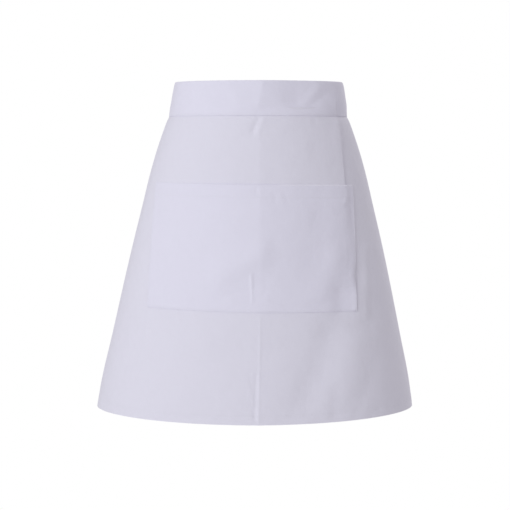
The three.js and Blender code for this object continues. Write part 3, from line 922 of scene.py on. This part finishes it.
@dataclass
class Waistband:
    """The waistband: a strip folded over the panel's top edge."""

    outline: Outline
    pleat: Pleat
    cell: float = 0.0022
    cloth: float = CLOTH
    clear: float = CLEAR
    tongue: float = TONGUE
    settle: float = 0.014
    round: float = 0.0009
    held_height: float = 0.020
    follow: float = 0.85
    stitch: float = 0.002
    turn_steps: int = 8
    side_hem: float = SIDE_HEM
    hem_step: float = HEM_STEP
    hem_extra: float = HEM_EXTRA
    folds: tuple[Fold, ...] = (
        Fold("middle press line", 0.03, -0.11, -0.012, -0.005, 0.0030, 0.020, Profile.CREASE),
        Fold("dent right of the middle", 0.25, -0.13, 0.24, -0.055, -0.0034, 0.024),
        Fold("ridge over the pleat", 0.50, -0.10, 0.505, -0.02, 0.0030, 0.013),
        Fold("slanting dent, right", 0.40, -0.065, 0.33, -0.03, -0.0010, 0.006),
        Fold("slanting ridge, right", 0.36, -0.089, 0.28, -0.04, 0.0008, 0.006),
        Fold("swell left of the middle", -0.16, -0.1, -0.12, -0.04, 0.0006, 0.010),
        Fold("dent left of that swell", -0.23, -0.09, -0.2, -0.03, -0.0005, 0.010),
    )

    def stack(self, along: Array, half: float) -> Array:
        """How far the pleat's tucked layers and the side hems push the inner layer in."""
        pleat = self.pleat
        start = float(pleat.start_at(self.outline.seam_z)) - pleat.depth - pleat.radius - self.cloth
        opening = smoothstep(along, start - pleat.margin, start)
        side = 1 - smoothstep(half - np.abs(along), self.side_hem, self.side_hem + self.hem_step)
        return opening * pleat.tucked(along, np.full_like(along, self.outline.seam_z)) - self.hem_extra * side

    def build(self) -> Object:
        """Makes the waistband.

        Returns:
            The waistband's object.
        """
        o = self.outline
        half = float(o.length_to(o.wrap, o.seam_z))
        along = spaced(-half, half, self.cell)
        slot = self.cloth / 2 + self.clear
        slot_top = o.seam_z + self.tongue + self.clear
        rise = spaced(o.seam_z, o.top_z - self.round, self.cell)
        turn = np.linspace(0, math.pi, self.turn_steps + 1)[1:-1]
        over = o.top_z - self.round + self.round * np.sin(turn)
        z = np.concatenate([rise, over, rise[::-1]])
        side = np.concatenate([np.ones_like(rise), np.cos(turn), -np.ones_like(rise)])
        settled = smoothstep(z, slot_top, slot_top + self.settle)
        column, row = np.meshgrid(along, np.arange(len(z)), indexing="ij")
        stack = self.stack(column, half)
        sunk = self.follow * self.pleat.tucked(column, np.full_like(column, o.seam_z))
        past = column > self.pleat.place
        held = np.where(side[row] > 0, slot + self.cloth + sunk * past, stack - slot - self.cloth)
        out = held * (1 - settled[row]) + self.cloth * side[row] * settled[row]
        angle = o.angle_after(column, np.full_like(column, o.seam_z))
        free = smoothstep(z[row], o.seam_z, o.seam_z + self.held_height)
        out = out + o.folded(self.folds, angle, z[row]) * free
        places = o.point(angle, z[row], out)
        path = np.concatenate([[0], np.cumsum(np.hypot(np.diff(z), np.diff(self.cloth * side)))])
        flat = np.stack([column, path[row]], axis=-1)
        piece = cloth_grid("waistband_cloth", places, flat)
        give_wall(piece, self.cloth)
        return piece

    def dress(self, piece: Object, shared: Shared) -> None:
        """Finishes the waistband.

        Args:
            piece: The waistband.
            shared: The effects that its material uses.
        """
        seams = (Seam(Axis.ALONG, self.stitch),)
        material = Cotton("cotton_band", base=(0.812, 0.785, 0.908), seams=seams).build(shared)
        dress(piece, material, "waistband")


@dataclass
class Pocket:
    """The patch pocket: flat along its sides and bottom, its hemmed mouth standing off the panel."""

    outline: Outline
    pleat: Pleat
    panel: SkirtPanel
    cell: float = 0.0026
    fine: float = 0.0011
    cloth: float = CLOTH
    clear: float = CLEAR
    hem_extra: float = HEM_EXTRA
    hem_step: float = HEM_STEP
    width: float = 0.315
    height: float = 0.179
    drop: float = 0.097
    shift: float = -0.0095
    tilt: float = math.radians(0.8)
    hem: float = 0.020
    seam: float = 0.008
    stitch: float = 0.002
    stand: float = 0.0065
    mouth_share: float = 0.25
    mouth_from: float = 0.7
    sewn_low: float = 0.08
    sewn_side: float = 0.93
    lip: float = 0.0024
    lip_turn: float = 0.9
    edge: float = 0.0008
    round: float = 0.0005
    curl: float = 0.0006
    curl_reach: float = 0.004
    # Where the painted highlight along the mouth starts.
    highlight_from: float = 0.030
    bridge: float = 0.012
    folds: tuple[Fold, ...] = (
        Fold("swell above the middle dent", 0.01, 0.45, -0.21, 0.515, 0.0034, 0.019),
        Fold("middle dent", 0.02, 0.56, -0.16, 0.60, -0.0010, 0.012),
        Fold("right ridge", 0.48, 0.28, 0.47, 0.46, 0.0018, 0.018),
        Fold("right ridge, lower", 0.47, 0.47, 0.36, 0.62, 0.0018, 0.018),
        Fold("crease line, shaded", -0.034, 0.52, -0.026, 0.64, 0.0010, 0.0026),
        Fold("swell right of the crease line", 0.055, 0.60, 0.06, 0.64, 0.0008, 0.006),
        Fold("pucker left of the middle", -0.01, 0.24, -0.008, 0.25, -0.0005, 0.0026),
        Fold("pucker right of the middle", 0.10, 0.26, 0.105, 0.285, -0.0005, 0.0026),
        Fold("small pucker at the right", 0.16, 0.255, 0.165, 0.27, -0.0004, 0.0026),
        Fold("pucker at the corner", 0.595, 0.25, 0.54, 0.30, -0.0012, 0.0034),
        Fold("lip at the corner", 0.57, 0.235, 0.52, 0.285, 0.0008, 0.0034),
    )

    def face(self, along: Array, z: Array) -> Array:
        """The panel's outer face, with the step at the pleat's edge bridged."""
        past = along - self.pleat.place_at(z) - self.cloth
        bridge = self.pleat.ends(z)[1] * smoothstep(past, 0, self.bridge)
        return self.cloth / 2 + np.maximum(self.pleat.tucked(along, z), bridge)

    def build(self) -> Object:
        """Makes the pocket.

        Returns:
            The pocket's object.
        """
        o = self.outline
        left, right = self.shift - self.width / 2, self.shift + self.width / 2
        crease = (self.panel.fine_left, self.panel.fine_right)
        rim_cell, lip_cell = self.edge / 4, self.lip / 6
        runs = (
            spaced(left, left + self.edge, rim_cell),
            spaced(left + self.edge, crease[0], self.cell)[1:],
            spaced(crease[0], crease[1], self.fine)[1:],
            spaced(crease[1], right - self.edge, self.cell)[1:],
            spaced(right - self.edge, right, rim_cell)[1:],
        )
        along = np.concatenate(runs)
        lip = spaced(0, self.lip, lip_cell)
        lower = spaced(self.hem + self.hem_step, self.height, self.cell)
        down = np.concatenate([lip, spaced(self.lip, self.hem, self.cell)[1:], lower])[::-1]
        column, row = np.meshgrid(along, down, indexing="ij")
        z = o.seam_z - self.drop - row - math.tan(self.tilt) * (column - self.shift)
        angle = o.angle_after(column, z)
        sideways = np.minimum(1, np.abs(column - self.shift) / (self.width / 2 - self.seam))
        upwards = np.clip(1 - row / (self.height - self.seam), 0, 1)
        drawn_in = (1 - self.mouth_share) * smoothstep(upwards, self.mouth_from, 1)
        rise = np.sin(upwards * math.pi / 2) * (1 - drawn_in)
        stand = self.stand * (1 - sideways ** 2) ** 2 * rise
        sewn = smoothstep(upwards, 0, self.sewn_low) * (1 - smoothstep(sideways, self.sewn_side, 1))
        dent = np.maximum(o.folded(self.folds, angle, z) * sewn, -stand / 2)
        rim = self.width / 2 - np.abs(column - self.shift)
        turned = 1 - smoothstep(rim, self.stitch, self.seam)
        hem = self.hem_extra * np.maximum(turned, 1 - smoothstep(row, self.hem, self.hem + self.hem_step))
        past = np.clip(1 - row / self.lip, 0, 1)
        rolled = self.lip * (1 - np.sqrt(1 - np.minimum(past, self.lip_turn) ** 2))
        eased = self.round * (1 - np.sqrt(1 - np.clip(1 - rim / self.edge, 0, 1) ** 2))
        curl = self.curl * np.exp(-rim / self.curl_reach) * smoothstep(row, 0, self.hem)
        dent = dent + curl * (column > self.shift)
        below = self.panel.relief(angle, z) + self.pleat.ridge(column, z)
        out = self.face(column, z) + self.clear + stand + dent + below
        places = o.point(angle, z, out + self.cloth + self.hem_extra * turned - rolled - eased)
        flat = np.stack([column, row], axis=-1)
        piece = cloth_grid("pocket_cloth", places, flat)
        wall = self.cloth + self.hem_extra
        share = (self.cloth + hem - eased) / wall
        give_wall(piece, wall, grid_order(share))
        return piece

    def dress(self, piece: Object, shared: Shared) -> None:
        """Finishes the pocket.

        Args:
            piece: The pocket.
            shared: The effects that its material uses.
        """
        left, right = self.shift - self.width / 2, self.shift + self.width / 2
        seams = (
            Seam(Axis.ALONG, self.hem - self.stitch, left + self.seam, right - self.seam),
            Seam(Axis.ALONG, self.height - self.stitch, left, right),
            Seam(Axis.DOWN, left + self.stitch),
            Seam(Axis.DOWN, right - self.stitch),
        )
        # Painted highlights along the mouth's right part and along the right edge.
        pressed = (Seam(Axis.ALONG, 0, self.highlight_from, right), Seam(Axis.DOWN, right))
        finish = Cotton("cotton_pocket", base=(0.808, 0.781, 0.904), seams=seams, pressed=pressed)
        dress(piece, finish.build(shared), "pocket")


@dataclass
class Ties:
    """The two ties, their knot and the tails below it."""

    outline: Outline
    width: float = 0.030
    thickness: float = 0.0013
    lap: float = 0.018
    pinch: float = 0.36
    pinch_length: float = 0.045
    tail_length: float = 0.260
    tail_gap: float = 0.0016
    tail_spread: float = 0.022
    tail_swing: float = 0.008
    knot_width: float = 0.036
    knot_depth: float = 0.022
    knot_height: float = 0.030
    knot_grip: float = 0.007
    slant: float = 0.35
    turn_half: float = 0.36
    turn_end: float = 0.46
    gather: float = 0.0012
    gather_waves: int = 3
    gather_length: float = 0.063
    cup: float = 0.0005
    strips: int = 10
    stitch: float = 0.002
    cell: float = 0.0025
    out: float = -0.0029

    def share_at(self, distance: Array) -> Array:
        """Share of its full width that a strap has at a distance from the knot."""
        return self.pinch + (1 - self.pinch) * smoothstep(distance, 0, self.pinch_length)

    def gathered(self, across: Array, distance: Array) -> Array:
        """How far a strap's gathers stand out, by the place across it and the distance from the knot."""
        fading = 1 - smoothstep(distance, 0, self.gather_length)
        return self.gather * np.cos(across * 2 * math.pi * self.gather_waves) * fading

    def tie(self, side: Side) -> Object:
        """Makes one tie, from the waistband's end round to the knot.

        Args:
            side: Which side it is on.

        Returns:
            The tie's object.
        """
        o = self.outline
        last = float(o.length_to(math.pi, 0.0)) - (self.knot_width / 2 - self.knot_grip)
        first = float(o.length_to(o.wrap, 0.0)) - self.lap
        along = spaced(first, last, self.cell)
        across = np.linspace(-0.5, 0.5, self.strips + 1)
        column, row = np.meshgrid(along, across, indexing="ij")
        distance = last - column
        share = self.share_at(distance)
        gather = self.gathered(row, distance)
        cup = self.cup * (1 - 4 * row ** 2)
        angle = side.value * o.angle_after(column, np.zeros_like(column))
        out = self.out + self.thickness / 2 + gather + cup - self.cup
        places = o.point(angle, row * self.width * share, out)
        flat = np.stack([column, row * self.width], axis=-1)
        if side is Side.LEFT:
            places, flat = places[::-1], flat[::-1]
        piece = cloth_grid(f"{side.name.lower()}_tie_strap", places, flat)
        give_wall(piece, self.thickness)
        return piece

    def tail(self, side: Side) -> Object:
        """Makes one tail, hanging from the knot.

        Args:
            side: Which side it is on.

        Returns:
            The tail's object.
        """
        start = -(self.knot_height / 2 - self.knot_grip)
        knot_y = float(self.outline.point(np.array(math.pi), np.array(0.0), np.array(self.out))[1])
        distance = spaced(self.tail_length, 0, self.cell)
        across = np.linspace(-0.5, 0.5, self.strips + 1)
        column, row = np.meshgrid(across, distance, indexing="ij")
        share = row / self.tail_length
        width = self.width * self.share_at(row)
        middle = side.value * (width / 2 + self.tail_gap + self.tail_spread * share)
        back = self.tail_swing * np.sin(share * math.pi) + self.gathered(column, row)
        x = middle + column * width
        places = np.stack([x, knot_y + back + self.thickness / 2, start - row], axis=-1)[::-1]
        flat = np.stack([column * self.width, row], axis=-1)[::-1]
        piece = cloth_grid(f"{side.name.lower()}_tail_strap", places, flat)
        give_wall(piece, self.thickness)
        return piece

    def knot(self) -> Object:
        """Makes the knot: two gathered lobes with a slanting turn of strap drawn tight over them.

        Returns:
            The knot's object.
        """
        deselect()
        centre = self.outline.point(np.array(math.pi), np.array(0.0), np.array(self.out))
        bpy.ops.mesh.primitive_uv_sphere_add(segments=160, ring_count=100, radius=1)
        piece = bpy.context.object
        piece.name = "knot_strap"
        mesh = piece.data
        points = np.empty(len(mesh.vertices) * 3)
        mesh.vertices.foreach_get("co", points)
        points = points.reshape(-1, 3)
        x, y, z = points.T
        across = x - z * self.slant
        over = 1 - smoothstep(np.abs(across), self.turn_half, self.turn_end)
        pulled = np.exp(-((np.abs(across) - 0.52) / 0.09) ** 2)
        gathers = 0.035 * np.cos(across * 21 + 0.6) * over
        lobes = 0.05 * np.cos(z * 11 + 2.5 * x + 0.5) * (1 - over) * smoothstep(np.abs(across), 0.5, 0.8)
        boxy = (np.abs(x) ** 3 + np.abs(y) ** 3 + np.abs(z) ** 3) ** (-1 / 3)
        size = np.array([self.knot_width, self.knot_depth, self.knot_height]) / 2
        swell = 0.90 * (0.55 + 0.45 * boxy) + 0.16 * over - 0.10 * pulled + gathers + lobes
        points = points * swell[:, None] * size + centre
        mesh.vertices.foreach_set("co", points.ravel())
        mesh.uv_layers[0].name = "flat"
        corners = np.empty(len(mesh.loops), int)
        mesh.loops.foreach_get("vertex_index", corners)
        flat = np.stack([z * self.knot_height, across * self.width], axis=-1)
        mesh.uv_layers[0].data.foreach_set("uv", flat[corners].ravel())
        mesh.update()
        bpy.ops.object.shade_smooth_by_angle(angle=SMOOTH_ANGLE)
        return piece

    def build(self, shared: Shared) -> list[Object]:
        """Makes and finishes both ties, both tails and the knot.

        Args:
            shared: The effects that their material uses.

        Returns:
            The pieces.
        """
        edge = self.width / 2 - self.stitch
        strap = Cotton("cotton_tie", seams=(Seam(Axis.ALONG, edge), Seam(Axis.ALONG, -edge))).build(shared)
        tail = Cotton("cotton_tail", seams=(Seam(Axis.DOWN, edge), Seam(Axis.DOWN, -edge))).build(shared)
        pieces = []
        for side in Side:
            name = side.name.lower()
            piece = self.tie(side)
            dress(piece, strap, f"{name}_tie")
            pieces.append(piece)
            piece = self.tail(side)
            dress(piece, tail, f"{name}_tail")
            pieces.append(piece)
        piece = self.knot()
        dress(piece, strap, "knot")
        pieces.append(piece)
        return pieces


@dataclass
class Studio:
    """A plain pale room: floor, backdrop, soft light and the camera."""

    floor_z: float = -1.0
    lens: float = 109.4
    distance: float = 2.3
    height: float = -0.0625
    pitch: float = 0.0728
    shift: float = -0.0045
    room_color: tuple = (0.985, 0.97, 1.0, 1)
    room_strength: float = 0.54
    floor_size: float = 30
    floor_color: tuple = (0.8, 0.8, 0.8, 1)
    floor_roughness: float = 0.9
    lamp_size: float = 1.6
    lamp_aim: tuple = (0, 0, -0.2)
    key_place: tuple = (-2.16, -2.75, 1.0)
    key_power: float = 49
    key_color: tuple = (0.95, 1, 1)
    back_place: tuple = (2.05, 2.7, 1.3)
    back_power: float = 27
    back_color: tuple = (1, 1, 1)

    def floor(self) -> None:
        """Makes the pale floor."""
        deselect()
        bpy.ops.mesh.primitive_plane_add(size=self.floor_size, location=(0, 0, 0))
        floor = bpy.context.object
        floor.name = "floor"
        for vertex in floor.data.vertices:
            vertex.co.z = self.floor_z
        material = bpy.data.materials.new("pale_floor")
        material.use_nodes = True
        n = Nodes(material.node_tree)
        output = material.node_tree.nodes["Material Output"]
        shader = material.node_tree.nodes["Principled BSDF"]
        shader.inputs["Base Color"].default_value = self.floor_color
        shader.inputs["Roughness"].default_value = self.floor_roughness
        white = n.add("ShaderNodeEmission")
        white.inputs["Color"].default_value = (1, 1, 1, 1)
        seen = n.add("ShaderNodeLightPath").outputs["Is Camera Ray"]
        mix = n.add("ShaderNodeMixShader")
        n.put(mix.inputs[0], seen)
        n.put(mix.inputs[1], shader.outputs[0])
        n.put(mix.inputs[2], white.outputs[0])
        n.put(output.inputs["Surface"], mix.outputs[0])
        floor.data.materials.append(material)

    def world(self) -> None:
        """Makes the even light all round."""
        world = bpy.data.worlds.new("pale_room")
        bpy.context.scene.world = world
        world.use_nodes = True
        n = Nodes(world.node_tree)
        world.node_tree.nodes.clear()
        room = n.add("ShaderNodeBackground")
        room.inputs["Color"].default_value = self.room_color
        room.inputs["Strength"].default_value = self.room_strength
        seen = n.add("ShaderNodeBackground")
        seen.inputs["Color"].default_value = (1, 1, 1, 1)
        seen.inputs["Strength"].default_value = 1.0
        mix = n.add("ShaderNodeMixShader")
        n.put(mix.inputs[0], n.add("ShaderNodeLightPath").outputs["Is Camera Ray"])
        n.put(mix.inputs[1], room.outputs[0])
        n.put(mix.inputs[2], seen.outputs[0])
        n.put(n.add("ShaderNodeOutputWorld").inputs["Surface"], mix.outputs[0])

    def lamp(self, name: str, place: tuple, power: float, color: tuple) -> None:
        """Hangs one soft light that faces the apron.

        Args:
            name: Its name.
            place: Where it is.
            power: Its power in watts.
            color: Its colour.
        """
        light = bpy.data.lights.new(name, "AREA")
        light.shape = "SQUARE"
        light.size = self.lamp_size
        light.energy = power
        light.color = color
        lamp = bpy.data.objects.new(name, light)
        bpy.context.scene.collection.objects.link(lamp)
        direction = np.array(self.lamp_aim, float) - np.array(place, float)
        yaw = math.atan2(direction[0], direction[1])
        tilt = math.atan2(direction[2], math.hypot(direction[0], direction[1]))
        lamp.location = place
        lamp.rotation_euler = (math.pi / 2 + tilt, 0, -yaw)

    def camera(self) -> None:
        """Sets the camera at the photograph's angle."""
        data = bpy.data.cameras.new("camera")
        data.lens = self.lens
        data.sensor_width = 36
        data.clip_end = 100
        camera = bpy.data.objects.new("camera", data)
        bpy.context.scene.collection.objects.link(camera)
        camera.location = (self.shift, -self.distance, self.height)
        camera.rotation_euler = (math.pi / 2 - self.pitch, 0, 0)
        bpy.context.scene.camera = camera

    def build(self) -> None:
        """Makes the room."""
        self.floor()
        self.world()
        self.lamp("key", self.key_place, self.key_power, self.key_color)
        self.lamp("back", self.back_place, self.back_power, self.back_color)
        self.camera()
        bpy.context.scene.view_settings.view_transform = "Standard"
        bpy.context.scene.view_settings.look = "None"


def main() -> None:
    """Builds the apron and its room, and reports each piece."""
    logging.basicConfig(level=logging.INFO, format="%(name)s %(message)s")
    studio = Studio()
    studio.build()
    outline = Outline()
    pleat = Pleat(outline)
    shared = Shared()
    panel = SkirtPanel(outline, pleat)
    pieces = []
    for part in (panel, Waistband(outline, pleat), Pocket(outline, pleat, panel)):
        piece = part.build()
        part.dress(piece, shared)
        pieces.append(piece)
    pieces.extend(Ties(outline).build(shared))
    for piece in pieces:
        log.info("%s: %d faces", piece.name, len(piece.data.polygons))


if __name__ == "__main__":
    main()
